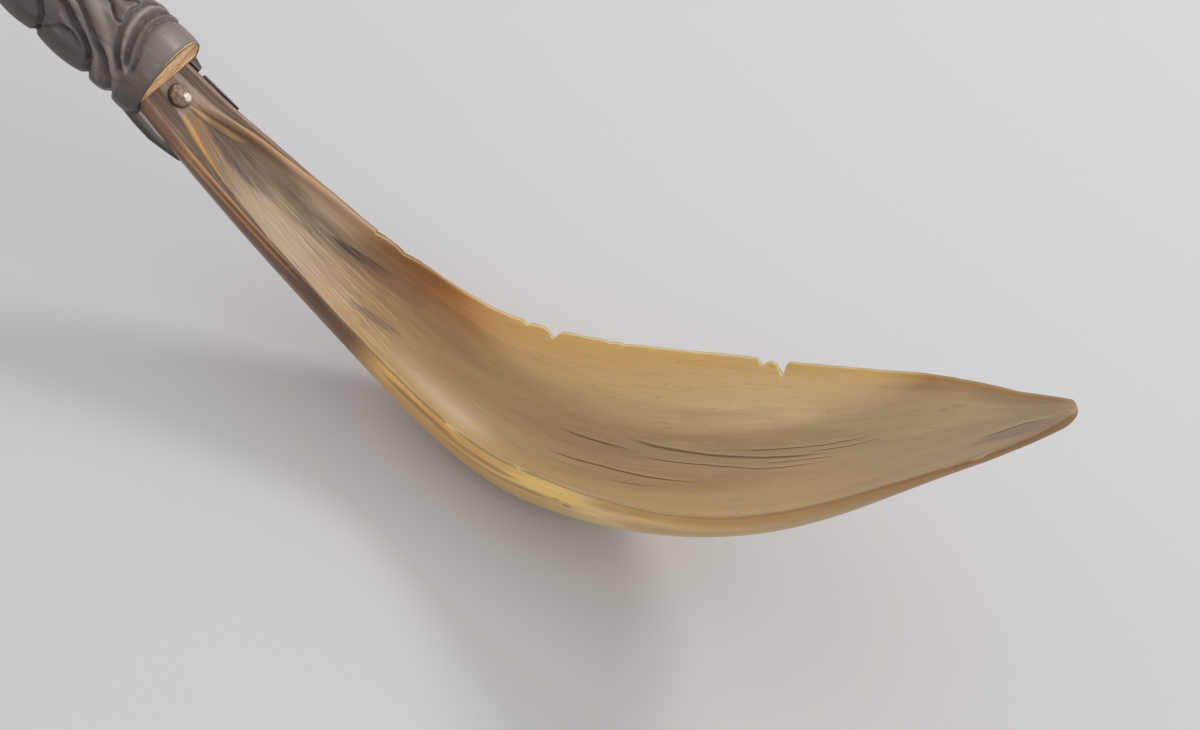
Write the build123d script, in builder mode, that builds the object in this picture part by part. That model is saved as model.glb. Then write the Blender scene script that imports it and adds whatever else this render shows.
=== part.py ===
from build123d import *
from math import cos, radians, sin, tan
import os

# Mountain goat horn spoon, in millimetres. +X runs from the handle to the bowl's point,
# +Y is the spoon's left side seen from the handle, +Z is up and z = 0 is the table.
# The spoon stands on a flat worn under its bowl and on the tip of its arched handle.

# The rim line, along the top of the neck and the bowl's rim, is four arcs that all curve
# upwards, most of all at the heel. It starts at the joint, where the handle's jaws end.
# Slopes and turns are in degrees, before the spoon is pitched to stand.
neck_slope = 43.0
neck_length = 60.0
neck_turn_angle = 12.6
heel_length = 29.3
heel_turn_angle = 35.3
scoop_length = 60.8
scoop_turn_angle = 24.9
lip_length = 40.3
lip_turn_angle = 5.6

# Widths across the rim, and depths from the rim line down to the keel outside.
tang_width = 12.5
neck_width = 13.9
throat_width = 23.8
heel_width = 35.1
bowl_width = 41.3
shoulder_width = 22.3
point_width = 2.4
tang_depth = 4.6
neck_depth = 5.4
throat_depth = 12.8
heel_depth = 19.2
bowl_depth = 12.4
shoulder_depth = 4.4
point_depth = 2.0
widest_from_point = 61.4
shoulder_from_point = 22.8

# The trough carved out of the horn, and the walls left at its rim and under it.
rim_wall = 1.3
floor_wall = 2.8
point_floor_wall = 1.7
trough_start = 6.4
trough_start_width = 2.4
trough_start_depth = 0.5
entry_from_start = 9.0
entry_width = 9.4
entry_depth = 2.2
trough_end_from_point = 7.0
trough_end_width = 3.0
trough_end_depth = 0.7

# The tang lies in the handle's slot, under a wedge of packing.
tang_length = 16.0
fit_clearance = 0.12
packing_length = 12.0
packing_width = 15.4
packing_height = 7.3
packing_end_width = 10.0
packing_end_height = 3.2

# The handle is a goat's horn, arched upwards and carved in swelling forms. Its hollow
# end is cut as two jaws that hold the tang.
handle_slope = 34.0
root_length = 40.0
root_turn_angle = 10.0
arch_length = 106.0
arch_turn_angle = 84.0
axis_above_rim = 1.1
collar_width = 17.8
collar_depth = 15.8
collar_at = 7.0
girdle_width = 16.4
girdle_depth = 14.8
girdle_at = 30.0
waist_width = 13.6
waist_depth = 13.0
waist_at = 44.0
crest_width = 14.0
crest_depth = 13.6
crest_at = 62.0
ankle_width = 10.4
ankle_depth = 10.6
ankle_at = 82.0
tip_width = 4.6
tip_depth = 4.4
jaw_face_angle = 74.0

# The lower jaw runs on under the neck as a thin leaf, the tongue.
tongue_length = 14.0
tongue_root_width = 17.6
tongue_root_thickness = 2.1
tongue_end_width = 9.0
tongue_end_thickness = 0.7
tongue_drop = 2.2
tongue_tilt = 12.0
tongue_overlap = 3.0

# One rivet goes down through the neck and the tongue.
rivet_at = 3.6
shank_diameter = 2.6
head_diameter = 4.4
head_height = 1.5
tail_diameter = 3.8
tail_height = 0.9
tail_seat = 0.4
seat_film = 0.03

# Where it stands, the horn is worn flat by this much.
belly_wear = 0.8
tip_wear = 0.5

# How many spaces between sections each curved form is drawn through.
bowl_spaces = 18
trough_spaces = 16
handle_spaces = 16
slot_spaces = 4

heel_end = neck_length + heel_length
rim_length = heel_end + scoop_length + lip_length
handle_length = root_length + arch_length
widest_at = rim_length - widest_from_point
shoulder_at = rim_length - shoulder_from_point
trough_entry = trough_start + entry_from_start
trough_end = rim_length - trough_end_from_point

rim_widths = [
    (-tang_length, tang_width),
    (0, neck_width),
    (neck_length, throat_width),
    (heel_end, heel_width),
    (widest_at, bowl_width),
    (shoulder_at, shoulder_width),
    (rim_length, point_width),
]
keel_depths = [
    (-tang_length, tang_depth),
    (0, neck_depth),
    (neck_length, throat_depth),
    (heel_end, heel_depth),
    (widest_at, bowl_depth),
    (shoulder_at, shoulder_depth),
    (rim_length, point_depth),
]
trough_widths = [
    (trough_start, trough_start_width),
    (trough_entry, entry_width),
    (neck_length, throat_width - 2 * rim_wall),
    (heel_end, heel_width - 2 * rim_wall),
    (widest_at, bowl_width - 2 * rim_wall),
    (shoulder_at, shoulder_width - 2 * rim_wall),
    (trough_end, trough_end_width),
]
trough_depths = [
    (trough_start, trough_start_depth),
    (trough_entry, entry_depth),
    (neck_length, throat_depth - floor_wall),
    (heel_end, heel_depth - floor_wall),
    (widest_at, bowl_depth - floor_wall),
    (shoulder_at, shoulder_depth - point_floor_wall),
    (trough_end, trough_end_depth),
]
handle_widths = [
    (0, collar_width),
    (collar_at, collar_width),
    (girdle_at, girdle_width),
    (waist_at, waist_width),
    (crest_at, crest_width),
    (ankle_at, ankle_width),
    (handle_length, tip_width),
]
handle_depths = [
    (0, collar_depth),
    (collar_at, collar_depth),
    (girdle_at, girdle_depth),
    (waist_at, waist_depth),
    (crest_at, crest_depth),
    (ankle_at, ankle_depth),
    (handle_length, tip_depth),
]
tongue_widths = [
    (-tongue_overlap, tongue_root_width),
    (0, tongue_root_width),
    (tongue_length, tongue_end_width),
]
tongue_thicknesses = [
    (-tongue_overlap, tongue_root_thickness),
    (0, tongue_root_thickness),
    (tongue_length, tongue_end_thickness),
]


def smooth_through(knots, distance):
    """The value at a distance on a smooth curve through (distance, value) knots."""
    slopes = []
    for index in range(len(knots)):
        before = knots[max(index - 1, 0)]
        after = knots[min(index + 1, len(knots) - 1)]
        slopes.append((after[1] - before[1]) / (after[0] - before[0]))
    first = 0
    while first < len(knots) - 2 and distance > knots[first + 1][0]:
        first += 1
    start, low = knots[first]
    end, high = knots[first + 1]
    span = end - start
    u = (distance - start) / span
    straight = low * (1 + 2 * u) * (1 - u) ** 2 + high * (3 - 2 * u) * u**2
    bend = slopes[first] * (1 - u) - slopes[first + 1] * u
    return straight + span * u * (1 - u) * bend


def steps(start, end, spaces):
    return [start + (end - start) * step / spaces for step in range(spaces + 1)]


def follow(start_slope, arcs, distance):
    """Run, rise and slope after a distance along arcs of (length, turn)."""
    run, rise, slope = 0.0, 0.0, radians(start_slope)
    for length, turn in arcs:
        step = min(distance, length)
        half_turn = radians(turn) * step / length / 2
        chord = step * sin(half_turn) / half_turn if half_turn else step
        run += chord * cos(slope + half_turn)
        rise += chord * sin(slope + half_turn)
        slope += 2 * half_turn
        distance = max(distance - length, 0)
    return run, rise, slope


def rim_line(distance):
    """X, Z and slope of the rim line, and of the tang before it starts."""
    arcs = [
        (neck_length, neck_turn_angle),
        (heel_length, heel_turn_angle),
        (scoop_length, scoop_turn_angle),
        (lip_length, lip_turn_angle),
    ]
    return follow(-neck_slope, arcs, distance)


def handle_line(distance):
    """X, Z and slope of the handle's axis, which starts above the rim line."""
    arcs = [(root_length, -root_turn_angle), (arch_length, -arch_turn_angle)]
    run, rise, slope = follow(handle_slope, arcs, distance)
    x = axis_above_rim * sin(radians(neck_slope)) - run
    return x, rise + axis_above_rim * cos(radians(neck_slope)), -slope


def turned(point, pitch):
    """A point of the XZ plane turned about the joint, the bowl going down."""
    x, z = point
    return x * cos(pitch) + z * sin(pitch), z * cos(pitch) - x * sin(pitch)


def belly(pitch):
    """The lowest point of the keel once the spoon is pitched."""
    points = []
    for distance in steps(0, rim_length, 400):
        x, z, slope = rim_line(distance)
        depth = smooth_through(keel_depths, distance)
        points.append(turned((x + depth * sin(slope), z - depth * cos(slope)), pitch))
    return min(points, key=lambda point: point[1])


def tip_height(pitch):
    """The lowest that the handle's tip reaches once the spoon is pitched."""
    x, z, slope = handle_line(handle_length)
    under_tip = x + tip_depth / 2 * sin(slope), z - tip_depth / 2 * cos(slope)
    return turned(under_tip, pitch)[1]


# The pitch that brings both worn flats down to the table, found by halving a range.
# The middle of the belly's flat is the part's origin.
pitch_low, pitch_high = -radians(60), radians(60)
for halving in range(40):
    pitch = (pitch_low + pitch_high) / 2
    if tip_height(pitch) + tip_wear > belly(pitch)[1] + belly_wear:
        pitch_high = pitch
    else:
        pitch_low = pitch
flat_x = belly(pitch)[0]
table_z = belly(pitch)[1] + belly_wear


def across(line, distance):
    """The plane square to a line at a distance, with its Y up from the line."""
    x, z, slope = line(distance)
    x, z = turned((x, z), pitch)
    along = (cos(slope - pitch), 0, sin(slope - pitch))
    return Plane(origin=(x - flat_x, 0, z - table_z), x_dir=(0, 1, 0), z_dir=along)


def side_on(distance):
    """The plane of symmetry, with its X along the rim line and its Y up from it."""
    square = across(rim_line, distance)
    return Plane(origin=square.origin, x_dir=square.z_dir, z_dir=(0, -1, 0))


def hung_face(distance, width, depth, rise):
    """A half ellipse hung below the rim line, raised above it by straight sides."""
    with BuildSketch(across(rim_line, distance)) as section:
        with BuildLine():
            keel = EllipticalCenterArc((0, 0), width / 2, depth, 180, arc_size=180)
            corners = [(width / 2, rise), (-width / 2, rise)] if rise > 0 else []
            Polyline(keel @ 1, *corners, keel @ 0)
        make_face()
    return section.sketch.face()


def horn_faces(start, end, spaces, grow=0.0):
    """Sections of the bowl's horn before its trough is cut, or of a slot around it."""
    faces = []
    for distance in steps(start, end, spaces):
        width = smooth_through(rim_widths, distance)
        depth = smooth_through(keel_depths, distance)
        faces.append(hung_face(distance, width + 2 * grow, depth + grow, grow))
    return faces


def packing_faces(start, end, grow=0.0):
    """Half ellipses standing on the tang, larger towards the joint."""
    faces = []
    for distance, width, height in (
        (start, packing_end_width, packing_end_height),
        (end, packing_width, packing_height),
    ):
        with BuildSketch(across(rim_line, distance)) as section:
            with BuildLine():
                base = (0, fit_clearance - grow)
                dome = EllipticalCenterArc(base, width / 2 + grow, height + grow, arc_size=180)
                Line(dome @ 1, dome @ 0)
            make_face()
        faces.append(section.sketch.face())
    return faces


def handle_faces():
    """Ellipses across the handle's axis, from the joint to the tip."""
    faces = []
    for distance in steps(0, handle_length, handle_spaces):
        width = smooth_through(handle_widths, distance)
        depth = smooth_through(handle_depths, distance)
        with BuildSketch(across(handle_line, distance)) as section:
            Ellipse(width / 2, depth / 2)
        faces.append(section.sketch.face())
    return faces


def tongue_faces():
    """The handle's lower jaw from inside the joint to the tongue's thin end."""
    faces = []
    for distance in steps(-tongue_overlap, tongue_length, slot_spaces):
        width = smooth_through(tongue_widths, distance)
        thickness = smooth_through(tongue_thicknesses, distance)
        depth = smooth_through(keel_depths, distance) + thickness
        faces.append(hung_face(distance, width, depth, 0))
    return faces


# What is cut away in front of the upper jaw: first above the neck, up to a face that leans
# back, then above the tongue, whose near side was cut lower than its far side.
cut_reach = 3 * collar_depth
tilt_rise = collar_width * tan(radians(tongue_tilt))
with BuildPart() as jaw_cut:
    with BuildSketch(side_on(0)):
        with BuildLine():
            face_line = PolarLine((0, 0), cut_reach, 180 - jaw_face_angle)
            Polyline(face_line @ 1, (cut_reach, cut_reach), (cut_reach, 0), (0, 0))
        make_face()
    extrude(amount=collar_width, both=True)
    with BuildSketch(across(rim_line, 0)):
        with BuildLine():
            Polyline(
                (-collar_width, -tongue_drop - tilt_rise),
                (collar_width, -tongue_drop + tilt_rise),
                (collar_width, cut_reach),
                (-collar_width, cut_reach),
                close=True,
            )
        make_face()
    extrude(amount=cut_reach)

# Everything below the table, which is worn off.
with BuildPart() as below_table:
    with Locations((0, 0, -collar_width / 2)):
        Box(4 * rim_length, 2 * bowl_width, collar_width)

# The hole for the rivet's shank, square to the rim line.
rivet_side = side_on(rivet_at)
rivet_plane = Plane(origin=rivet_side.origin, x_dir=rivet_side.x_dir, z_dir=rivet_side.y_dir)
rivet_keel = smooth_through(keel_depths, rivet_at)
rivet_reach = rivet_keel + smooth_through(tongue_thicknesses, rivet_at) - tail_seat
with BuildPart() as rivet_hole:
    with BuildSketch(rivet_plane):
        Circle(shank_diameter / 2 + fit_clearance)
    extrude(amount=rivet_reach + tail_height, both=True)

# Bowl: one piece of amber horn, spread and hollowed to a long trough, with a flat tang.
with BuildPart() as bowl:
    loft(sections=horn_faces(-tang_length, rim_length, bowl_spaces))
    trough_faces = []
    for place in steps(trough_start, trough_end, trough_spaces):
        trough_width = smooth_through(trough_widths, place)
        trough_depth = smooth_through(trough_depths, place)
        trough_faces.append(hung_face(place, trough_width, trough_depth, neck_depth))
    loft(sections=trough_faces, mode=Mode.SUBTRACT)
    add(rivet_hole.part, mode=Mode.SUBTRACT)
    add(below_table.part, mode=Mode.SUBTRACT)
bowl.part.label = "bowl"

# Handle: dark horn, solid but for the slot and the hollow behind its upper jaw.
with BuildPart() as handle:
    loft(sections=handle_faces())
    loft(sections=tongue_faces())
    add(jaw_cut.part, mode=Mode.SUBTRACT)
    slot_end = -tang_length - fit_clearance
    loft(
        sections=horn_faces(slot_end, tongue_length + tail_height, slot_spaces, fit_clearance),
        mode=Mode.SUBTRACT,
    )
    loft(
        sections=packing_faces(-packing_length - fit_clearance, 0, fit_clearance),
        mode=Mode.SUBTRACT,
    )
    add(rivet_hole.part, mode=Mode.SUBTRACT)
    with BuildSketch(rivet_plane.offset(-rivet_reach)):
        Circle(tail_diameter / 2 + fit_clearance)
    extrude(amount=-tail_height - tail_seat, mode=Mode.SUBTRACT)
    add(below_table.part, mode=Mode.SUBTRACT)
handle.part.label = "handle"

# Packing: a wedge of pale wood that fills the horn's hollow above the tang.
with BuildPart() as packing:
    loft(sections=packing_faces(-packing_length, 0))
    add(jaw_cut.part, mode=Mode.SUBTRACT)
packing.part.label = "wood_packing"

# Rivet: a domed head on the neck, a shank and a flatter tail under the tongue.
rivet_profile = Plane(origin=rivet_plane.origin, x_dir=rivet_plane.x_dir, z_dir=(0, -1, 0))
with BuildPart() as rivet:
    with BuildSketch(rivet_profile):
        with BuildLine():
            top, bottom = (0, seat_film + head_height), (0, -rivet_reach - tail_height)
            Line(top, bottom)
            head = TangentArc(top, (head_diameter / 2, seat_film), tangent=(1, 0))
            tail = TangentArc(bottom, (tail_diameter / 2, -rivet_reach), tangent=(1, 0))
            Polyline(
                head @ 1,
                (shank_diameter / 2, seat_film),
                (shank_diameter / 2, -rivet_reach),
                tail @ 1,
            )
        make_face()
    revolve(axis=Axis(rivet_plane.origin, rivet_plane.z_dir))
rivet.part.label = "rivet"

os.makedirs("parts", exist_ok=True)
export_step(bowl.part, "parts/bowl.step")
export_step(handle.part, "parts/handle.step")
export_step(packing.part, "parts/wood_packing.step")
export_step(rivet.part, "parts/rivet.step")
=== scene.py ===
from math import cos, pi, radians, sin

import bpy
import numpy as np
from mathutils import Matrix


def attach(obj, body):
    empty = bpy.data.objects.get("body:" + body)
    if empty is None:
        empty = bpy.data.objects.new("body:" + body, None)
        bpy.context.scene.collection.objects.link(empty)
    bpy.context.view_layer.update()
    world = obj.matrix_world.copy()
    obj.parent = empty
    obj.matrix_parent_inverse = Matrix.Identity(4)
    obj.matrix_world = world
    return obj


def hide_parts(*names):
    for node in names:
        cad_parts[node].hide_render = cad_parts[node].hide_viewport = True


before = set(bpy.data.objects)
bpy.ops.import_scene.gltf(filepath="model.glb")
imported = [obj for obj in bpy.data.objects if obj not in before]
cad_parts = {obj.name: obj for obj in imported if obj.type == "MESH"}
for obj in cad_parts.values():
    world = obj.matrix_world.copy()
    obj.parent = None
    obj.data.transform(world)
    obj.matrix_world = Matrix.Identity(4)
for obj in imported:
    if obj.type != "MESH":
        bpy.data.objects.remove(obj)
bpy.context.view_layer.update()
bpy.ops.object.select_all(action="DESELECT")


# The bowl is one piece of horn, steamed, spread and scraped thin, with a long trough that
# runs up into its neck. The horn is amber and lets light through at its edges, and some of
# that light is painted into its colour as a yellow glow. The rim is chipped, and the floor
# has drying cracks along the grain.
mm = 0.001
# Lengths are in millimetres and angles in degrees. Distances run along the rim from the joint.
joint_x, joint_z = -79.080, 41.041
neck_slope = -28.532
rim_arcs = [(60.0, 12.6), (29.3, 35.3), (60.8, 24.9), (40.3, 5.6)]
tang_length = 16.0
trough_start, trough_end = 5.4, 186.0
nose_start, visible_end = 187.4, 189.2
nose_shift, nose_hollow = 0.5, 0.2
rim_widths = [(-16, 12.5), (0, 13.9), (60, 23.8), (89.3, 35.1), (129, 41.3), (167.6, 22.3), (190.4, 2.4)]
keel_depths = [(-16, 4.6), (0, 5.4), (60, 12.8), (89.3, 19.2), (129, 12.4), (167.6, 4.4), (190.4, 2.0)]
trough_depths = [
    (trough_start, 0.0), (8, 0.7), (13, 1.9), (20, 3.2), (60, 10.0), (89.3, 16.4), (129, 9.6), (167.6, 2.7),
    (trough_end, 0.35),
]
lip_widths = [
    (0, 5.0), (7, 5.6), (11, 4.4), (16, 2.9), (30, 1.5), (45, 0.9), (60, 0.65), (90, 0.55), (186, 0.5),
]
edge_rounding = [(0, 1.0), (30, 0.7), (45, 0.35), (60, 0.2), (190, 0.16)]
trough_lean = [(5, 0.2), (8, 1.1), (14, 1.4), (24, 0.7), (36, 0), (190, 0)]
# How far the far and the near rim stand out of the plain outline, at a distance.
rim_trims = [
    (-16, 0, 0), (0, 0.2, 0), (12, 0.1, 0), (18, 0.35, 0), (34, 0.35, 0), (44, 0, 0), (63, 0.3, 0),
    (70, 0, 0), (98, 0.5, 0), (112, 0.5, 0), (127, -0.25, 0), (144, 0.4, 0), (150, 0.8, 0),
    (158, 0.8, 0), (165, 0.45, 0.1),
    (170, 0, 0.4), (175, -0.3, 1.0), (180, 0.1, 1.4), (184, 0.5, 1.5), (187.4, 0.6, 1.0), (189.2, 0.6, 0.3),
]
# How deep the rims are chipped, at a distance.
far_chips = [
    (42.9, 0), (43.3, 0.1), (43.6, 0.55), (45.4, 0.1), (47.4, 0.05), (49.0, 0.45), (49.8, 0.75),
    (50.7, 0.5), (53.0, 0), (73.4, 0), (74.3, 0.8), (74.6, 0.75), (75.1, 0.1), (77.3, 0), (78.3, 0.75),
    (78.9, 1.9), (79.3, 2.2), (80.1, 0.75), (80.5, 0.3), (82.0, 0), (88.6, 0), (88.9, 0.4),
    (91.0, 0.1), (91.6, 0.35), (94.5, 0), (116.7, 0), (116.9, 0.3), (117.1, 1.2), (117.6, 1.4),
    (119.0, 0.55), (119.9, 0.45), (120.4, 1.1), (120.9, 2.8), (121.3, 3.1), (121.8, 2.1),
    (122.5, 0.7), (123.1, 0.2), (124.0, 0), (160.2, 0), (160.6, 0.2), (161.2, 0), (190, 0),
]
near_chips = [
    (73.2, 0), (73.6, 0.25), (74.0, 0.7), (76.2, 0.35), (79.0, 0), (88.4, 0), (88.9, 0.15),
    (89.6, 0.45), (92.0, 0), (173.6, 0), (174.4, 0.3), (175.8, 0.35), (176.6, 0), (190, 0),
]


def smooth_through(knots, distance):
    """Values at distances on a smooth curve through (distance, value) knots."""
    at, value = np.array(knots, float).T
    slope = np.empty(len(at))
    slope[1:-1] = (value[2:] - value[:-2]) / (at[2:] - at[:-2])
    slope[0] = (value[1] - value[0]) / (at[1] - at[0])
    slope[-1] = (value[-1] - value[-2]) / (at[-1] - at[-2])
    first = np.clip(np.searchsorted(at, distance, side="right") - 1, 0, len(at) - 2)
    span = at[first + 1] - at[first]
    u = np.clip((distance - at[first]) / span, 0, 1)
    straight = value[first] * (1 + 2 * u) * (1 - u) ** 2 + value[first + 1] * (3 - 2 * u) * u**2
    return straight + span * u * (1 - u) * (slope[first] * (1 - u) - slope[first + 1] * u)


def follow(start, slope, arcs, distance):
    """X, Z and slope after distances from a start point along arcs of (length, turn)."""
    x, z = np.full_like(distance, start[0]), np.full_like(distance, start[1])
    slope = np.full_like(distance, radians(slope))
    for length, turn in arcs:
        step = np.minimum(distance, length)
        half_turn = radians(turn) * step / length / 2
        chord = step * np.sinc(half_turn / pi)
        x = x + chord * np.cos(slope + half_turn)
        z = z + chord * np.sin(slope + half_turn)
        slope = slope + 2 * half_turn
        distance = np.maximum(distance - length, 0)
    return x, z, slope


def square_to(line, across, up):
    """Points in millimetres, offset across and up from a line of (x, z, slope)."""
    x, z, slope = line
    return np.stack([x - up * np.sin(slope), across, z + up * np.cos(slope)], -1)


def wrapped_skin(name, columns, rows, place):
    """A flat grid wrapped into a closed skin: place gives each column and row its point."""
    bpy.ops.mesh.primitive_grid_add(x_subdivisions=columns, y_subdivisions=rows, size=1)
    skin = bpy.context.object
    skin.name = skin.data.name = name
    flat = np.empty(3 * len(skin.data.vertices))
    skin.data.vertices.foreach_get("co", flat)
    column, row, _ = np.rint((flat.reshape(-1, 3) + 0.5) * (columns, rows, 0)).astype(int).T
    points, values = place(column, row)
    skin.data.vertices.foreach_set("co", (points * mm).ravel())
    for value_name, value in values.items():
        kind, key = ("FLOAT_VECTOR", "vector") if value.ndim == 2 else ("FLOAT", "value")
        stored = skin.data.attributes.new(value_name, kind, "POINT")
        stored.data.foreach_set(key, value.ravel())
    bpy.ops.object.mode_set(mode="EDIT")
    bpy.ops.mesh.select_all(action="SELECT")
    bpy.ops.mesh.remove_doubles(threshold=1e-6)
    bpy.ops.mesh.fill_holes(sides=0)
    bpy.ops.mesh.select_all(action="SELECT")
    bpy.ops.mesh.normals_make_consistent(inside=False)
    bpy.ops.object.mode_set(mode="OBJECT")
    bpy.ops.object.shade_smooth_by_angle(angle=radians(35))
    return skin


def between(start, end, parts):
    return np.linspace(start, end, parts, endpoint=False)


bowl_stations = np.concatenate([
    between(-tang_length, 4, 20), between(4, 24, 50), between(24, 42, 36), between(42, 54, 60),
    between(54, 73, 38), between(73, 95, 120), between(95, 116.4, 40), between(116.4, 124, 48),
    between(124, 158, 60), between(158, nose_start, 66), np.linspace(nose_start, visible_end, 14),
])
outer_turn = between(0, pi, 52)
cap_turn = np.linspace(0, pi / 2, 5)
inner_turn = between(0, pi, 56)[1:]


def bowl_points(column, row):
    """A section is the outside from near edge to far edge, then the lip and the trough."""
    along = bowl_stations[column]
    half = smooth_through(rim_widths, along) / 2
    keel = smooth_through(keel_depths, along)
    lip = np.minimum(np.interp(along, *np.array(lip_widths).T), 0.9 * half)
    corner = np.minimum(np.interp(along, *np.array(edge_rounding).T), 0.45 * lip)
    hollow = np.maximum(smooth_through(trough_depths, along), 0)
    hollow[along <= trough_start] = 0
    fade = (visible_end - along) / (visible_end - trough_end)
    hollow = np.where(along >= trough_end, nose_hollow * fade, hollow)
    corner_drop = np.minimum(corner, 0.5 * hollow)
    lean = np.interp(along, *np.array(trough_lean).T)
    wall = half - lip
    nose = np.clip((along - nose_start) / (visible_end - nose_start), 0, 1)
    pinch = np.sqrt(1 - nose**2 * 0.98)
    fan = np.zeros_like(along)
    across, up = np.zeros_like(along), np.zeros_like(along)
    n_out, n_cap, n_in = len(outer_turn), len(cap_turn), len(inner_turn)
    marks = np.cumsum([n_out, n_cap, n_cap, n_in, n_cap, n_cap])
    part = np.searchsorted(marks, row, side="right")
    spot = row - np.r_[0, marks][part]
    turn = outer_turn[np.minimum(spot, n_out - 1)]
    here = part == 0
    fan[here] = turn[here]
    across[here] = (-half * np.cos(turn))[here]
    up[here] = (-corner - (keel - corner) * np.sin(turn))[here]
    bend = cap_turn[np.minimum(spot, n_cap - 1)]
    for number, side in ((1, 1), (5, -1)):
        here = part == number
        curve = bend if number == 1 else pi / 2 - bend
        fan[here] = (pi / 2 + side * (pi / 2 + lip / 8))[here]
        across[here] = (side * (half - corner * (1 - np.cos(curve))))[here]
        up[here] = (-corner * (1 - np.sin(curve)))[here]
    for number, side in ((2, 1), (4, -1)):
        here = part == number
        curve = bend if number == 4 else pi / 2 - bend
        fan[here] = pi / 2 * (1 + side)
        across[here] = (side * (wall + corner * (1 - np.cos(curve))))[here]
        up[here] = (-corner_drop * (1 - np.sin(curve)))[here]
    turn = inner_turn[np.minimum(spot, n_in - 1)]
    here = part == 3
    fan[here] = (pi - turn)[here]
    across[here] = (wall * np.cos(turn) + lean * np.sin(turn) ** 2)[here]
    up[here] = (-corner_drop - (hollow - corner_drop) * np.sin(turn))[here]
    last = row >= marks[-1]
    across[last], up[last] = -half[last], -corner[last]
    far_cut, near_cut = [np.interp(along, *np.array(chips).T) for chips in (far_chips, near_chips)]
    cut = np.where(across > 0, far_cut, near_cut)
    ragged = 0.05 * np.sin(along * 0.9 + across) * np.sin(along * 0.37 + 2)
    edge = np.clip((np.abs(across) / half - 0.8) / 0.2, 0, 1)
    up = np.minimum(up + ragged * edge, -cut)
    inside = np.where((part >= 2) & (part <= 4) & (row < marks[-1]), 1.0, -1.0)
    from_edge = inside * np.hypot(half - np.abs(across), np.minimum(up, 0))
    straight = np.stack([along, across, up], -1)
    middle = -keel / 2
    far_trim, near_trim = [
        smooth_through([(trim[0], trim[side]) for trim in rim_trims], along) for side in (1, 2)
    ]
    share = across / half
    across = across + far_trim * np.clip(share, 0, 1) + near_trim * np.clip(share, -1, 0)
    across = across * pinch + nose_shift * nose
    up = middle + (up - middle) * pinch
    points = square_to(follow((joint_x, joint_z), neck_slope, rim_arcs, along), across, up)
    points[:, 2] = np.maximum(points[:, 2], 0)
    grain_way = np.stack([along, fan * 8, inside * 3], -1)
    return points, {"straight": straight, "from_edge": from_edge, "grain_way": grain_way}


bowl_rows = len(outer_turn) + 4 * len(cap_turn) + len(inner_turn)
bowl = wrapped_skin("horn_bowl", len(bowl_stations) - 1, bowl_rows, bowl_points)


class Shade:
    """A value of a finish over a surface. Sums with it add Math nodes."""

    def __init__(self, tree, socket=None):
        self.tree, self.socket = tree, socket

    def node(self, kind, settings, sockets, output=0):
        node = self.tree.nodes.new(kind)
        for name, value in settings.items():
            if name == "stops":
                while len(node.color_ramp.elements) < len(value):
                    node.color_ramp.elements.new(0.5)
                for element, (place, shade) in zip(node.color_ramp.elements, value):
                    element.position = place
                    element.color = shade
            else:
                setattr(node, name, value)
        for name, value in sockets.items():
            if isinstance(value, Shade):
                self.tree.links.new(value.socket, node.inputs[name])
            else:
                node.inputs[name].default_value = value
        return Shade(self.tree, node.outputs[output])

    def maths(self, operation, first, second):
        return self.node("ShaderNodeMath", {"operation": operation}, {0: first, 1: second})

    def __add__(self, other):
        return self.maths("ADD", self, other)

    def __sub__(self, other):
        return self.maths("SUBTRACT", self, other)

    def __mul__(self, other):
        return self.maths("MULTIPLY", self, other)

    def __truediv__(self, other):
        return self.maths("DIVIDE", self, other)

    def __rsub__(self, other):
        return self.maths("SUBTRACT", other, self)

    def __abs__(self):
        return self.maths("ABSOLUTE", self, 0)

    __radd__, __rmul__ = __add__, __mul__

    def rise(self, low, high):
        """0 below low, 1 above high, and a smooth step between."""
        return self.node(
            "ShaderNodeMapRange", {"interpolation_type": "SMOOTHSTEP"},
            {"Value": self, "From Min": low, "From Max": high},
        )

    def tinted(self, share, tint):
        """This colour with a share of another over it."""
        return self.node("ShaderNodeMix", {"data_type": "RGBA"}, {0: share, 6: self, 7: tint}, 2)

    def grain(self, stretch, scale, detail=3, roughness=0.5):
        """Noise in this vector's space, stretched along the horn."""
        spread = self.node("ShaderNodeVectorMath", {"operation": "MULTIPLY"}, {0: self, 1: stretch})
        return self.node(
            "ShaderNodeTexNoise", {},
            {"Vector": spread, "Scale": scale, "Detail": detail, "Roughness": roughness},
        )


def seen(red, green, blue):
    """A colour as the eye reads it, 0 to 255, in the shader's linear values."""
    return *[((c / 255 + 0.055) / 1.055) ** 2.4 if c > 10 else c / 3294 for c in (red, green, blue)], 1


def new_finish(name):
    """A material with its shader, and a Shade to start its nodes from."""
    material = bpy.data.materials.new(name)
    material.use_nodes = True
    shader = material.node_tree.nodes["Principled BSDF"]
    return material, shader, Shade(material.node_tree)


def finished_with(shader, colour, roughness, bump, depth):
    """Joins colour, roughness and a bump height in metres to the shader."""
    links = shader.id_data.links
    links.new(colour.socket, shader.inputs["Base Color"])
    links.new(roughness.socket, shader.inputs["Roughness"])
    normal = bump.node("ShaderNodeBump", {}, {"Strength": 1, "Distance": depth, "Height": bump})
    links.new(normal.socket, shader.inputs["Normal"])


amber_horn, amber_shader, start = new_finish("amber_horn")
straight = start.node("ShaderNodeAttribute", {"attribute_name": "straight"}, {}, 1)
grain_way = start.node("ShaderNodeAttribute", {"attribute_name": "grain_way"}, {}, 1)
from_edge = start.node("ShaderNodeAttribute", {"attribute_name": "from_edge"}, {}, 2)
along, across, up = [
    start.node("ShaderNodeSeparateXYZ", {}, {0: straight}, number) for number in range(3)
]
patchy = straight.grain((0.05, 0.2, 0.2), 1, 3)
wander = patchy - 0.5


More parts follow.
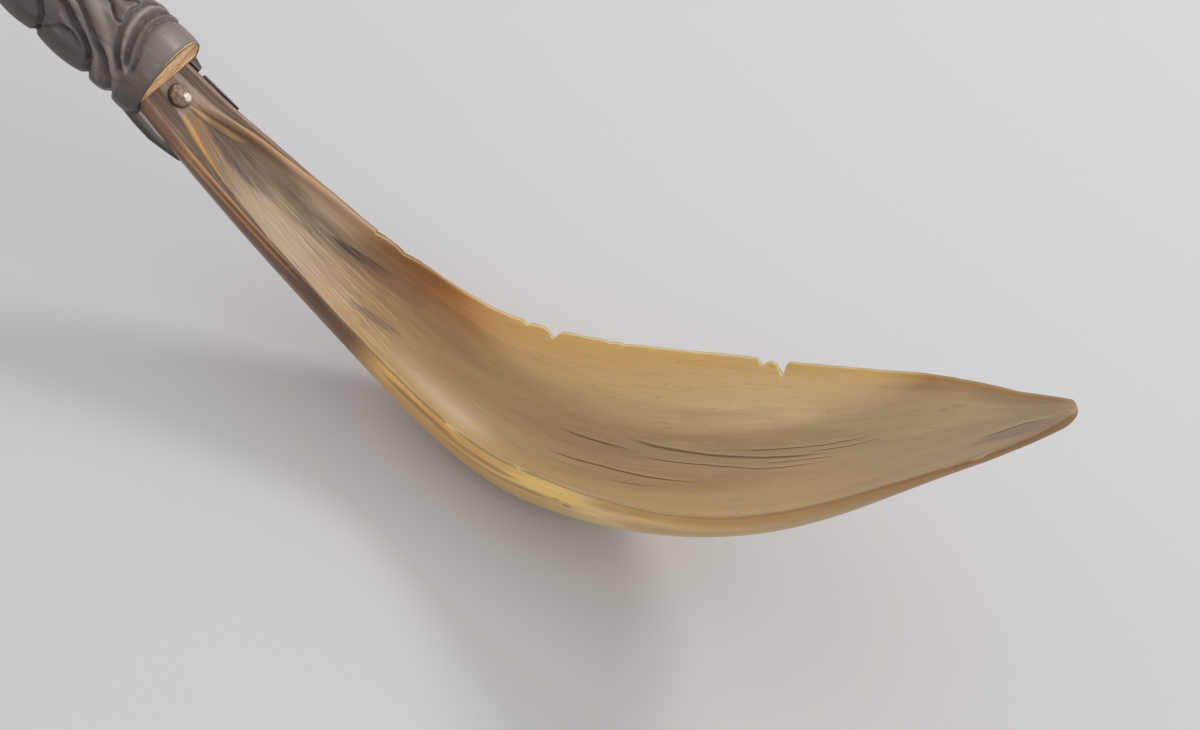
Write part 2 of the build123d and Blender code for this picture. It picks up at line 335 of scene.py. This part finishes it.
def colours_along(stops):
    """Colours at distances in millimetres along the horn."""
    ramp = [((place + 16) / 210, seen(*colour)) for place, colour in stops]
    return along.node("ShaderNodeValToRGB", {"stops": ramp}, {0: (along + 16) / 210})


def patch(at, aside, length, width, drift=0.0, soft=0.6):
    """1 in an oval patch of the surface that drifts aside as it goes, with a ragged edge."""
    ahead = (along - at) / length
    off = (across - (along - at) * drift - aside) / width
    reach = ahead * ahead + off * off
    return 1 - (reach + wander * 1.2).rise(1 - soft, 1 + soft)


# Inside colours along the horn; the lighter stops from 24 to 36 mm carry the scraped patch's painted sheen.
inside_colour = colours_along([
    (-16, (120, 84, 54)), (0, (130, 98, 74)), (8, (142, 107, 74)), (16, (140, 110, 84)),
    (24, (184, 158, 134)), (36, (192, 166, 142)), (52, (182, 146, 94)), (72, (184, 153, 103)),
    (96, (184, 154, 110)), (140, (175, 147, 106)), (170, (164, 138, 100)), (190, (150, 120, 88)),
])
# Outside colours along the horn: its amber tone, with light shining through the thin wall painted in as a
# bright yellow glow from about 60 to 125 mm.
outside_tone_and_glow = colours_along([
    (-16, (110, 78, 52)), (0, (126, 90, 66)), (14, (126, 88, 66)), (30, (118, 80, 58)),
    (44, (84, 50, 34)), (52, (116, 74, 44)), (60, (226, 184, 112)), (72, (214, 174, 106)),
    (92, (220, 190, 122)), (104, (240, 214, 156)), (125, (202, 172, 114)), (150, (178, 150, 100)),
    (176, (106, 78, 48)),
])
below_rim = 0 - from_edge
near = 1 - across.rise(-0.5, 0.5)
neck = 1 - along.rise(38, 56)
# A darker amber band just under the rim past 92 mm: painted shade under the lip.
under_lip_shade = below_rim.rise(-0.1, 0.5) * (1 - below_rim.rise(1.2, 3.6))
outside_tone_and_glow = outside_tone_and_glow.tinted(under_lip_shade * 0.6 * along.rise(92, 112), seen(166, 126, 68))
outside_tone_and_glow = outside_tone_and_glow.tinted((patchy + below_rim * 0.03).rise(0.5, 0.75) * 0.35, seen(150, 116, 70))
flank = below_rim.rise(0.9, 1.4) * (1 - below_rim.rise(2.4, 4.0)) * neck
outside_tone_and_glow = outside_tone_and_glow.tinted(flank * 0.65, seen(84, 56, 44))
amber_line = (1 - abs(below_rim - 0.75).rise(0.1, 0.4)) * near * along.rise(5, 12) * (1 - along.rise(32, 42))
inside = from_edge.rise(-0.05, 0.25)
colour = outside_tone_and_glow.tinted(inside, inside_colour)
broad = (34 - along) * 0.09 + 0.3 + near * 1.3 + wander * 1.5
streak = (1 - abs(from_edge - broad - 0.35).rise(0.1, 0.6)) * (1 - near)
streak = streak * along.rise(9, 15) * (1 - along.rise(28, 38))
mauve_edge = from_edge.rise(-0.5, -0.2) * (1 - (from_edge - broad).rise(-0.5, 0.5)) * neck
colour = colour.tinted(mauve_edge * 0.9, seen(76, 48, 32)).tinted(amber_line * 0.6, seen(196, 144, 80))
colour = colour.tinted(streak * 0.8, seen(206, 150, 74))
rim_line = (1 - abs(from_edge).rise(0.25, 0.6)) * along.rise(36, 50)
colour = colour.tinted(rim_line * 0.7, seen(122, 97, 66))
for at, aside, length, width, drift, strength, tint in (
    # A dark ring round the rivet's foot: painted shade of its head.
    (1.95, -0.4, 2.5, 2.5, 0, 0.9, (52, 36, 28)),
    (13, -4.2, 9, 0.9, -0.2, 0.85, (194, 136, 58)),
    (20, 4.8, 11, 1.3, 0.12, 0.7, (124, 98, 70)),
    # A dark line in the crease under the trough's far ridge: painted shade.
    (9.0, 1.3, 4.2, 0.5, 0.4, 0.85, (74, 50, 38)),
    # A light line along that ridge: painted highlight.
    (10.5, 2.5, 5.0, 0.5, 0.4, 0.6, (214, 172, 116)),
    (11, -1.0, 5, 1.6, -0.1, 0.5, (146, 110, 76)),
    (17, 1.6, 7.5, 2.0, 0.06, 0.85, (76, 52, 42)),
    (33, 4.4, 15, 1.8, 0.16, 0.7, (124, 102, 74)),
    (53, 9.8, 11, 1.3, 0.14, 0.65, (130, 88, 60)),
    (45, 6.9, 6.5, 0.55, 0.2, 0.95, (62, 40, 26)),
    (52, 7.7, 6.5, 0.9, 0.15, 0.55, (112, 84, 58)),
    (53, 1.3, 5.5, 0.7, 0.24, 0.7, (120, 96, 86)),
    (58, 7.4, 13, 2.0, 0.1, 0.5, (166, 118, 84)),
    (60, 10.0, 11, 1.2, 0.14, 0.35, (158, 112, 74)),
    (67, 12.2, 10, 0.9, 0.2, 0.4, (190, 138, 84)),
    (106, 5.5, 22, 7.0, -0.05, 0.45, (150, 122, 98)),
    (92, -9.0, 16, 6.0, -0.1, 0.45, (184, 154, 124)),
    # A bright yellow band along the far wall under the rim: painted light shining through the thin horn from
    # behind.
    (100, 16.3, 48, 4.8, 0.03, 0.85, (224, 200, 150)),
    (96, 10.5, 24, 4.0, 0.05, 0.4, (180, 154, 110)),
    (150, 10.5, 22, 4.5, -0.25, 0.6, (192, 166, 118)),
    (156, -6.0, 16, 4.0, 0.2, 0.35, (164, 136, 104)),
    (178, -1.6, 9, 1.0, 0.02, 0.6, (124, 96, 72)),
    (184, -2.9, 4, 0.7, 0.1, 0.5, (148, 106, 68)),
    (172, -6.4, 3.0, 0.5, 0.28, 0.7, (132, 92, 52)),
    (179, -4.6, 3.6, 0.5, 0.28, 0.7, (150, 102, 62)),
    (161, 9.4, 2.4, 0.3, -0.25, 0.5, (136, 104, 72)),
    (157.5, 9.6, 1.0, 0.3, -0.25, 0.5, (140, 106, 74)),
):
    colour = colour.tinted(patch(at, aside, length, width, drift) * strength * inside, seen(*tint))
for at, height, length, width, tint in (
    (96.4, -4.6, 0.8, 0.35, (90, 66, 34)), (98.3, -5.6, 0.9, 0.3, (90, 70, 40)),
    (95, -3.0, 9.0, 1.8, (240, 206, 122)), (80, -3.2, 9.0, 0.7, (160, 122, 66)),
    (84, -5.4, 12.0, 0.6, (164, 130, 78)),
    (68, -2.4, 8.0, 0.7, (150, 112, 62)),
):
    ahead, off = (along - at) / length, (up - height) / width
    spot = (1 - (ahead * ahead + off * off + wander).rise(0.5, 1.4)) * (1 - inside) * (1 - across.rise(-8, 0))
    colour = colour.tinted(spot * 0.75, seen(*tint))


def crack(path, width):
    """A crack through (along, across) points and a painted highlight along its edge, thinning to their ends.
    """
    first, last = path[0][0], path[-1][0]
    stops = [((at - first) / (last - first), 3 * [(aside + 20) / 40] + [1]) for at, aside in path]
    line = along.node("ShaderNodeValToRGB", {"stops": stops}, {0: (along - first) / (last - first)})
    off = across + wander * 0.7 - (line * 40 - 20)
    ends = along.rise(first, first + 7) * (1 - along.rise(last - 9, last)) * inside
    dark = (1 - abs(off).rise(width * 0.15, width)) * ends
    return dark, (1 - abs(off - width - 0.15).rise(0.05, 0.3)) * ends


cracks, crack_highlight = crack([(94, 9.0), (104, 8.2), (112, 7.5), (122, 6.7), (136, 6.4)], 0.26)
for path, width in (
    ([(83, 7.1), (90, 7.3), (99, 7.1)], 0.17),
    ([(83, 2.9), (93, 3.0), (100, 2.4), (114, 1.1)], 0.18),
    ([(98, 6.3), (111.8, 5.5), (123, 4.2), (136, 4.4)], 0.14),
    ([(114, 8.6), (131, 8.4), (145, 8.6)], 0.14),
    ([(94, 0.3), (107, 0.1)], 0.13),
    ([(120, 5.4), (130, 5.6), (140, 5.2)], 0.12),
    ([(128, 7.4), (138, 7.2), (148, 7.6)], 0.12),
    ([(168, -0.8), (173, -0.5), (179, 0.0), (187, -0.9)], 0.4),
):
    dark, light = crack(path, width)
    cracks, crack_highlight = cracks.maths("MAXIMUM", cracks, dark), crack_highlight.maths("MAXIMUM", crack_highlight, light)
fibres = grain_way.grain((0.12, 4.5, 1), 1, 3, 0.6)
bands = grain_way.grain((0.016, 0.5, 1), 1, 3, 0.5)
pores = grain_way.grain((0.3, 1.4, 1), 1.3, 4, 0.6)
# The scraped patch in the trough is scraped horn, and its lightened fibres are partly painted sheen.
scraped_with_sheen = patch(36, -0.2, 23, 6.4, 0.08, 0.8) * inside
colour = colour.tinted(bands.rise(0.5, 0.66) * 0.22, seen(204, 180, 132))
colour = colour.tinted((1 - bands).rise(0.5, 0.66) * 0.22, seen(134, 104, 76))
colour = colour.tinted((fibres - 0.5).rise(0.0, 0.22) * (0.1 + 0.6 * scraped_with_sheen), seen(228, 208, 180))
colour = colour.tinted((0.5 - fibres).rise(0.0, 0.22) * (0.14 + 0.5 * scraped_with_sheen), seen(108, 84, 66))
colour = colour.tinted(pores.rise(0.58, 0.75) * 0.2, seen(124, 96, 66))
# The cracks are dark, with a painted highlight along one edge.
colour = colour.tinted(crack_highlight * 0.3, seen(206, 178, 136)).tinted(cracks * 0.66, seen(96, 72, 50))
roughness = 0.4 + 0.1 * scraped_with_sheen + 0.25 * mauve_edge + 0.25 * (fibres - 0.5) + 0.12 * (pores - 0.5)
bump = fibres * (0.3 + 0.8 * scraped_with_sheen) + pores * 0.2 - cracks * 2.0
finished_with(amber_shader, colour, roughness, bump, 0.00012)
amber_shader.inputs["IOR"].default_value = 1.54
amber_shader.inputs["Subsurface Weight"].default_value = 0.5
amber_shader.inputs["Subsurface Radius"].default_value = (1, 0.75, 0.45)
amber_shader.inputs["Subsurface Scale"].default_value = 0.0022
bowl.data.materials.append(amber_horn)
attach(bowl, "root")
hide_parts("bowl")


# The handle is a goat's dark horn, carved in swelling forms and arched down to its tip. Its
# hollow end is thinned to a collar over the tang, and runs on under the neck as a tongue.
handle_arcs = [(40.0, 10.0), (106.0, 84.0)]
handle_widths = [(0, 17.2), (7, 17.8), (30, 16.4), (44, 13.6), (62, 14.0), (82, 10.4), (146, 4.6)]
handle_depths = [(0, 15.6), (7, 15.8), (30, 14.8), (44, 13.0), (62, 13.6), (82, 10.6), (146, 4.4)]
handle_rise = 19.532
axis_above_rim = 1.1
sawn_back, sawn_skew, sawn_lean = 1.15, 0.103, 0.346
sawn_across, sawn_up, sawn_half, sawn_rise = 0.35, 0.85, 7.95, 7.45
handle_length, tip_round = 146.0, 1.5
collar_length = 7.0
bore_across, bore_up, bore_flare = 6.6, 4.9, 12.0
lower_rise = 6.5
rows_round = 216
hollow_depth = 16.4


def handle_line(distance):
    """X, Z and slope of the handle's axis, which goes back from the joint."""
    slope = radians(neck_slope)
    start = joint_x - axis_above_rim * sin(slope), joint_z + axis_above_rim * cos(slope)
    x, z, turned = follow(start, 180 - handle_rise, handle_arcs, distance)
    return x, z, turned - pi


def from_rim(points):
    """Distance along the neck and height above its rim, of points in millimetres."""
    x, z, slope = points[:, 0] - joint_x, points[:, 2] - joint_z, radians(neck_slope)
    return x * cos(slope) + z * sin(slope), z * cos(slope) - x * sin(slope)


def sawn_at(across, up):
    """Where along the neck the sawn end of collar and packing is."""
    return sawn_skew * across - sawn_lean * up - sawn_back


# A stroke is its path of (distance, angle) from the top, its width and its depth; a ridge is below 0.
strokes = [
    ([(8.8, 0), (8.7, 12), (8.0, 30), (6.8, 46), (6.2, 55)], 0.5, 0.42),
    ([(9.7, 0), (9.2, 20), (8.3, 38), (7.3, 52)], 0.35, -0.18),
    ([(10.5, 0), (10.0, 21), (9.2, 40), (8.2, 54)], 0.5, 0.5),
    ([(11.7, 0), (11.4, 22), (10.4, 38), (9.3, 50), (8.2, 58), (7.0, 62)], 0.5, -0.4),
    ([(13.1, 0), (12.9, 10), (12.3, 28), (11.3, 42), (10.1, 54), (8.4, 64)], 0.5, 0.5),
    ([(19.5, 2), (16.4, 6), (15.3, 13), (14.3, 20), (13.4, 21)], 0.28, 0.6),
    ([(18.5, 9), (16.3, 11), (14.6, 13)], 1.0, 0.4),
    ([(24, 14), (19.5, 22), (16.5, 32), (13.5, 44), (11.5, 56), (8, 76), (7, 100)], 0.9, -0.35),
    ([(30, 22), (20.4, 33), (16.5, 48), (13.8, 60), (11, 67), (8.8, 83), (7.4, 99), (7.2, 140)], 0.52, 0.6),
    ([(30, 36), (21.9, 46), (19.6, 54), (16.7, 62), (14.6, 72), (12.4, 96), (12.4, 140)], 0.52, 0.7),
    ([(28, 28), (20.6, 40), (17.8, 51), (15, 60), (12.8, 70), (10.4, 92)], 0.6, -0.3),
    ([(30, 46), (25.4, 67), (24.3, 77), (23.6, 96), (24.5, 140)], 0.52, 0.7),
    ([(24, 100), (22.4, 86), (20.5, 72), (18.4, 68), (15.8, 76)], 0.32, 0.4),
    ([(21.5, 60), (18.2, 66), (15.6, 74)], 0.5, -0.25),
    ([(35, 120), (33.5, 96), (32.5, 78), (34, 60), (38, 44)], 0.45, 0.8),
    ([(39, 0), (36, 10), (31, 14), (27, 12), (24.5, 5), (24.2, 0)], 0.4, 0.6),
    ([(36.5, 0), (34, 6), (30, 7), (27, 0)], 0.45, 0.35),
    ([(46, 0), (44.5, 20), (41.5, 40), (40.5, 60), (42, 90), (45, 130)], 0.45, 0.7),
    ([(48, 0), (46.5, 22), (43.5, 42), (42.5, 60), (44, 90), (47, 130)], 0.5, -0.3),
    ([(60, 0), (56, 16), (50, 20), (48.5, 34), (51, 60), (57, 80), (62, 120)], 0.45, 0.6),
    ([(57, 36), (54.5, 44), (55.5, 58), (59, 62), (61.5, 52), (60.5, 40), (57, 36)], 0.35, 0.5),
    ([(67, 0), (65, 60), (64.5, 120), (65, 180)], 0.4, 0.7),
    ([(69, 0), (67, 60), (66.5, 120), (67, 180)], 0.5, -0.3),
    ([(71, 0), (69, 60), (68.5, 120), (69, 180)], 0.4, 0.6),
    ([(84, 0), (80, 40), (78.5, 90), (80, 180)], 0.45, 0.4),
]
# A swelling is its distance, angle, length, width and height.
swellings = [
    (18.4, 106, 6.2, 5.0, 1.1), (10.4, 96, 3.0, 6.0, 0.7), (28.3, 100, 5.6, 5.6, 0.9),
    (38.0, 98, 5.0, 5.0, 0.8), (51.0, 100, 7.0, 4.5, 0.6), (3.4, 122, 3.8, 7.0, 0.65),
    (31.5, 0, 5.0, 4.0, 0.5), (55.0, 5, 6.0, 3.6, 0.5), (58.0, 50, 4.0, 3.0, 0.4),
]


def carving(along, around):
    """How far the carved surface stands above the plain horn, and how far its strokes alone do."""
    side = np.abs(around)
    reach = 8.6 - 0.03 * along
    swell, height = np.zeros_like(along), np.zeros_like(along)
    for at, angle, length, width, rise in swellings:
        off = ((along - at) / length) ** 2 + (np.radians(side - angle) * reach / width) ** 2
        swell += rise * np.clip(1 - off, 0, 1) ** 0.7
    for path, width, depth in strokes:
        nearest = np.full(len(along), 1e9)
        for (a, b), (c, d) in zip(path, path[1:]):
            way = np.array([c - a, radians(d - b) * 8])
            past = np.stack([along - a, np.radians(side - b) * 8], -1)
            share = np.clip(past @ way / (way @ way), 0, 1)
            nearest = np.minimum(nearest, np.hypot(*(past - share[:, None] * way).T))
        height -= depth * np.exp(-((nearest / width) ** 2))
    swell -= 0.35 * np.exp(-(((along - 15) / 5) ** 2)) * np.exp(-((side / 34) ** 2))
    ending = np.clip(along / 2.5, 0.15, 1)
    return (swell + height) * ending, height * ending


handle_stations = np.concatenate([
    between(0, 1, 7), between(1, 26, 122), between(26, 72, 132), between(72, handle_length - tip_round, 84),
    np.linspace(handle_length - tip_round, handle_length, 7),
])
hollow_steps = np.array([hollow_depth, 10.0, 4.0, 0.8, 0.0])


def handle_points(column, row):
    """Columns go out of the hollow, over the collar's end and along the handle to its tip."""
    inner = len(hollow_steps)
    around = row / rows_round * 360 - 180
    angle = np.radians(around)
    skin = column >= inner
    station = handle_stations[np.clip(column - inner, 0, len(handle_stations) - 1)]
    slim = 1 - 0.05 * np.exp(-station / 0.5)
    half_width = smooth_through(handle_widths, station) / 2 * slim
    half_depth = smooth_through(handle_depths, station) / 2 * slim
    relief, cuts = carving(station, around)
    across = (half_width + relief) * np.sin(angle)
    up = (half_depth + relief) * np.cos(angle)
    end = np.full_like(station, 1.5)
    for _ in range(8):
        place, rise = from_rim(square_to(handle_line(end), across, up))
        end += place - sawn_at(across, rise)
    nose = np.clip((station - handle_length) / tip_round + 1, 0, 1)
    pinch = np.sqrt(1 - nose**2 * 0.98)
    across, up = across * pinch, up * pinch
    onward = end + (collar_length - end) * station / collar_length
    along = np.where(station < collar_length, onward, station)
    points = square_to(handle_line(along), across, up)
    back = hollow_steps[np.clip(column, 0, inner - 1)]
    in_across = sawn_across + sawn_half * np.sin(angle)
    in_up = sawn_up + np.where(np.abs(around) < 90, sawn_rise, lower_rise) * np.cos(angle)
    mouth = follow((joint_x, joint_z), neck_slope, rim_arcs, sawn_at(in_across, in_up))
    rim = square_to(mouth, in_across, in_up)
    bore_wide, bore_high = bore_across + 0.12 * (bore_flare - back), bore_up + 0.2 * (bore_flare - back)
    deep_across = 0.3 + bore_wide / sawn_half * (in_across - sawn_across)
    bore = square_to(handle_line(back + 1.5), deep_across, bore_high * np.cos(angle) + 0.1)
    share = np.clip(back / 4, 0, 1)[:, None]
    hollow = rim * (1 - share) + bore * share
    points[~skin] = hollow[~skin]
    points[:, 2] = np.maximum(points[:, 2], 0)
    straight = np.stack([along, across, up], -1)
    straight[~skin] = np.stack([back, in_across, in_up], -1)[~skin]
    return points, {"straight": straight, "relief": np.where(skin, cuts, -1.2)}


bpy.ops.object.select_all(action="DESELECT")
handle_columns = len(hollow_steps) + len(handle_stations) - 1
handle = wrapped_skin("carved_handle", handle_columns, rows_round, handle_points)

tongue_stations = np.linspace(-3.5, 12.0, 94)
tongue_spread = np.linspace(0, 1, 46)


def tongue_points(column, row):
    """A leaf round the keel, from its near edge to its far edge and back outside."""
    along = tongue_stations[column]
    parts = len(tongue_spread) - 1
    row = np.where(row > 2 * parts + 1, 0, row)
    outside = row > parts
    spread = tongue_spread[np.where(outside, 2 * parts + 1 - row, row)]
    half = smooth_through(rim_widths, along) / 2
    keel = smooth_through(keel_depths, along)
    near_edge = np.interp(along, [-3.5, 2, 7, 10, 12], [34, 33, 27, 38, 82])
    far_edge = np.interp(along, [1.75, 1.95, 2.5, 2.9, 11.2, 12], [0, 26, 24, 2, 1, 60])
    turn = np.radians(near_edge + (180 - far_edge - near_edge) * spread)
    near_gap = np.interp(along, [-3.5, 1.2, 3.9, 7], [0.2, 0.16, 0.1, 0.05])
    near_thick = np.interp(along, [0, 3.8, 8.1, 11.2, 12], [2.5, 2.2, 1.1, 0.35, 0.15])
    far_thick = np.interp(along, [0, 1.8, 2.0, 9, 12], [2.2, 1.3, 0.9, 0.75, 0.15])
    share = np.clip((spread - 0.15) / 0.7, 0, 1)
    gap = near_gap * (1 - share) + 0.1 * share
    thick = near_thick * (1 - share) + far_thick * share
    blunt = np.clip(np.minimum(spread, 1 - spread) / 0.06, 0, 1)
    reach = gap + np.where(outside, thick * (0.45 + 0.55 * np.sqrt(1 - (1 - blunt) ** 2)), 0)
    across, up = -(half + reach) * np.cos(turn), -(keel + reach) * np.sin(turn)
    points = square_to(follow((joint_x, joint_z), neck_slope, rim_arcs, along), across, up)
    # Along the near edge, the outside gets a lighter grey line: painted highlight.
    edge = np.interp(along, [-1.5, 5.5, 8.5], [1, 1, 0.3]) * np.where(outside, 0.55, 1)
    relief = np.where(spread < 0.01, edge, -0.9)
    return points, {"straight": np.stack([-along, across, up], -1), "relief": relief}


bpy.ops.object.select_all(action="DESELECT")
tongue = wrapped_skin("tongue", len(tongue_stations) - 1, 2 * len(tongue_spread), tongue_points)
tongue.select_set(True)
handle.select_set(True)
bpy.context.view_layer.objects.active = handle
bpy.ops.object.join()

dark_horn, dark_shader, start = new_finish("dark_horn")
straight = start.node("ShaderNodeAttribute", {"attribute_name": "straight"}, {}, 1)
relief = start.node("ShaderNodeAttribute", {"attribute_name": "relief"}, {}, 2)
back, upward = [start.node("ShaderNodeSeparateXYZ", {}, {0: straight}, number) for number in (0, 2)]
streaks = straight.grain((0.12, 0.8, 0.8), 1, 4, 0.5)
clouds = straight.grain((0.12, 0.3, 0.3), 1, 3)
worn = straight.grain((0.5, 1.2, 1.2), 1, 4, 0.6)
height = relief + (streaks - 0.5) * 0.25
colour = height.node("ShaderNodeValToRGB", {"stops": [
    (0.05, seen(40, 36, 35)), (0.3, seen(60, 54, 51)), (0.46, seen(84, 76, 71)), (0.53, seen(92, 84, 79)),
    (0.6, seen(116, 106, 99)), (0.72, seen(150, 138, 129)), (1.0, seen(205, 192, 180)),
]}, {0: height * 0.5 + 0.5})
colour = colour.tinted(clouds.rise(0.5, 0.68) * 0.4, seen(112, 92, 74))
colour = colour.tinted((streaks - 0.5).rise(0.02, 0.2) * 0.35, seen(128, 119, 116))
colour = colour.tinted((0.5 - streaks).rise(0.02, 0.2) * 0.4, seen(58, 53, 52))
# The handle's upper side is lightened: painted light from above.
top = upward.rise(3.0, 8.0) * (1 - back.rise(60, 110)) * (0.35 + 0.65 * (1 - back.rise(4, 9)))
colour = colour.tinted(top * 0.42, seen(156, 142, 130))
# The handle's underside is darkened: painted shade.
shaded_underside = (0 - upward).rise(-5.0, 4.0)
colour = colour.tinted(shaded_underside * 0.65, seen(50, 46, 46))
polished = back.rise(74, 100)
colour = colour.tinted(polished * 0.5, seen(62, 56, 54))
colour = colour.tinted(relief.rise(0.7, 0.95), seen(228, 220, 212))
roughness = 0.42 + (worn - 0.5) * 0.3 - 0.12 * polished
finished_with(dark_shader, colour, roughness, streaks + worn * 0.6, 0.00006)
handle.data.materials.append(dark_horn)
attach(handle, "root")
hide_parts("handle")


# The packing is a wedge of pale wood, driven above the tang into the hollow end of the horn
# and sawn off with it. What shows is a rough face with short torn fibres.
packing_length = 12.0
face_columns, back_columns = 34, 6
packing_rows = 150
packing_middle, packing_floor, packing_clearance = 2.6, 0.04, 0.05


def packing_points(column, row):
    """Columns spread over the sawn face from its middle, then go back along the wedge."""
    turn = np.radians(row / packing_rows * 360 - 180)
    share = np.minimum(column / face_columns, 1)
    edge_across = sawn_across + (sawn_half - packing_clearance) * np.sin(turn)
    edge_up = np.maximum(sawn_up + (sawn_rise - packing_clearance) * np.cos(turn), packing_floor)
    across = sawn_across + (edge_across - sawn_across) * share
    up = packing_middle + (edge_up - packing_middle) * share
    layer = up - 0.12 * across + 0.2 * np.sin(across * 0.8)
    torn = 0.17 * np.sin(layer * 2.6) + 0.09 * np.sin(layer * 6.1 + across * 0.4)
    torn += 0.06 * np.sin(layer * 11 + across)
    torn -= 0.45 * np.exp(-(((layer - 3.1) / 0.3) ** 2)) * np.exp(-(((across - 1.5) / 4.5) ** 2))
    along = sawn_at(across, up) + torn * np.clip((1 - share) * 4, 0, 1) - 0.12
    back = np.clip((column - face_columns) / back_columns, 0, 1)
    along = along - back * (packing_length + along)
    across, up = across * (1 - 0.38 * back), packing_floor + (up - packing_floor) * (1 - 0.62 * back)
    points = square_to(follow((joint_x, joint_z), neck_slope, rim_arcs, along), across, up)
    return points, {"straight": np.stack([along, across, layer], -1), "torn": torn}


bpy.ops.object.select_all(action="DESELECT")
packing = wrapped_skin("packing", face_columns + back_columns, packing_rows, packing_points)

pale_wood, wood_shader, start = new_finish("pale_wood")
straight = start.node("ShaderNodeAttribute", {"attribute_name": "straight"}, {}, 1)
torn = start.node("ShaderNodeAttribute", {"attribute_name": "torn"}, {}, 2)
fibres = straight.grain((0.4, 0.22, 2.0), 1, 3, 0.6)
flecks = straight.grain((0.4, 0.4, 1.7), 1, 2)
colour = fibres.node("ShaderNodeValToRGB", {"stops": [
    (0.25, seen(166, 116, 70)), (0.42, seen(204, 158, 108)), (0.58, seen(228, 188, 142)),
    (0.8, seen(242, 216, 180)),
]}, {0: fibres + torn * 0.35})
colour = colour.tinted((flecks - torn * 0.3).rise(0.57, 0.68) * 0.7, seen(164, 100, 66))
finished_with(wood_shader, colour, 0.7 + (fibres - 0.5) * 0.2, fibres, 0.00015)
packing.data.materials.append(pale_wood)
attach(packing, "root")
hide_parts("wood_packing")


# One copper rivet holds neck and tongue together. Its head was hammered over cold, which
# left flat facets on a low dome, and it has darkened.
rivet_at = 2.1
rivet_columns, rivet_rows = 60, 48
rivet_profile = [
    (0.0, 1.02), (0.5, 1.0), (1.0, 0.95), (1.5, 0.84), (1.9, 0.68), (2.12, 0.48), (2.2, 0.2), (2.12, -0.05),
    (1.3, -0.1), (1.3, -7.3), (1.9, -7.3), (1.95, -7.6), (1.7, -8.0), (1.1, -8.3), (0.5, -8.4), (0.0, -8.45),
]
facets = [(0.0, 0.0, 0.96), (0.26, -0.5, 1.12), (0.3, 1.2, 1.14), (0.24, 2.9, 1.12), (0.3, 4.4, 1.16)]


def rivet_points(column, row):
    """Columns go down the rivet's profile and rows around it."""
    finer = np.linspace(0, len(rivet_profile) - 1, rivet_columns + 1)[column]
    radius, up = [np.interp(finer, range(len(rivet_profile)), side) for side in np.array(rivet_profile).T]
    turn = row / rivet_rows * 2 * pi
    radius = radius * (1 + 0.03 * np.sin(2 * turn + 0.8) + 0.02 * np.sin(3 * turn))
    ahead, across = radius * np.cos(turn), radius * np.sin(turn)
    for lean, way, top in facets:
        cut = top - lean * (ahead * cos(way) + across * sin(way))
        up = np.where(up > 0, np.minimum(up, cut), up)
    points = square_to(follow((joint_x, joint_z), neck_slope, rim_arcs, rivet_at + ahead), across, up)
    return points, {"straight": np.stack([ahead, across, up], -1)}


bpy.ops.object.select_all(action="DESELECT")
rivet = wrapped_skin("hammered_rivet", rivet_columns, rivet_rows, rivet_points)

copper, copper_shader, start = new_finish("copper")
straight = start.node("ShaderNodeAttribute", {"attribute_name": "straight"}, {}, 1)
tarnish = straight.grain((1, 1, 1), 0.9, 4, 0.6)
dints = straight.grain((1, 1, 1), 2.2, 2)
colour = tarnish.node("ShaderNodeValToRGB", {"stops": [
    (0.3, seen(92, 72, 58)), (0.5, seen(120, 97, 80)), (0.68, seen(146, 122, 102)),
]}, {0: tarnish})
ahead, aside, height = [start.node("ShaderNodeSeparateXYZ", {}, {0: straight}, number) for number in range(3)]
ahead, aside = ahead - 1.2, aside - 0.7
# A painted highlight on the head, on its side toward the bowl.
painted_highlight_spot = 1 - (ahead * ahead + aside * aside + (tarnish - 0.5) * 1.5).rise(0.2, 1.3)
colour = colour.tinted(painted_highlight_spot * 0.85, seen(244, 230, 214))
finished_with(copper_shader, colour, 0.4 + (tarnish - 0.5) * 0.3 - 0.1 * painted_highlight_spot, dints, 0.0001)
copper_shader.inputs["Metallic"].default_value = 0.45
rivet.data.materials.append(copper)
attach(rivet, "root")
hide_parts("rivet")


# The spoon stands on a plain pale table. One soft lamp behind it, a little to the right,
# throws a soft shadow forward, and even light from all round fills it.
bpy.ops.object.select_all(action="DESELECT")
bpy.ops.mesh.primitive_plane_add(size=4, location=(0, 0, 0))
table = bpy.context.object
table.name = "pale_table"
paper, paper_shader, start = new_finish("pale_paper")
paper_shader.inputs["Base Color"].default_value = seen(205, 203, 204)
paper_shader.inputs["Roughness"].default_value = 0.9
table.data.materials.append(paper)

world = bpy.context.scene.world or bpy.data.worlds.new("even_light")
bpy.context.scene.world = world
world.use_nodes = True
world.node_tree.nodes["Background"].inputs["Color"].default_value = (1, 1, 1, 1)
world.node_tree.nodes["Background"].inputs["Strength"].default_value = 0.81
bpy.ops.object.light_add(type="AREA", location=(0.24, 0.75, 0.75))
lamp = bpy.context.object
lamp.name = "soft_lamp"
lamp.data.shape = "DISK"
lamp.data.size = 0.3
lamp.data.energy = 3.8
lamp.rotation_euler = (radians(-43.6), radians(17.7), 0)

bpy.ops.object.camera_add(
    location=(0.098881, -0.394228, 0.493883),
    rotation=[radians(angle) for angle in (39.544745, -12.841625, 27.933833)],
)
camera = bpy.context.object
camera.name = "camera"
camera.data.sensor_fit = "HORIZONTAL"
camera.data.sensor_width = 36
camera.data.lens = 108
bpy.context.scene.camera = camera
bpy.context.scene.view_settings.view_transform = "Standard"
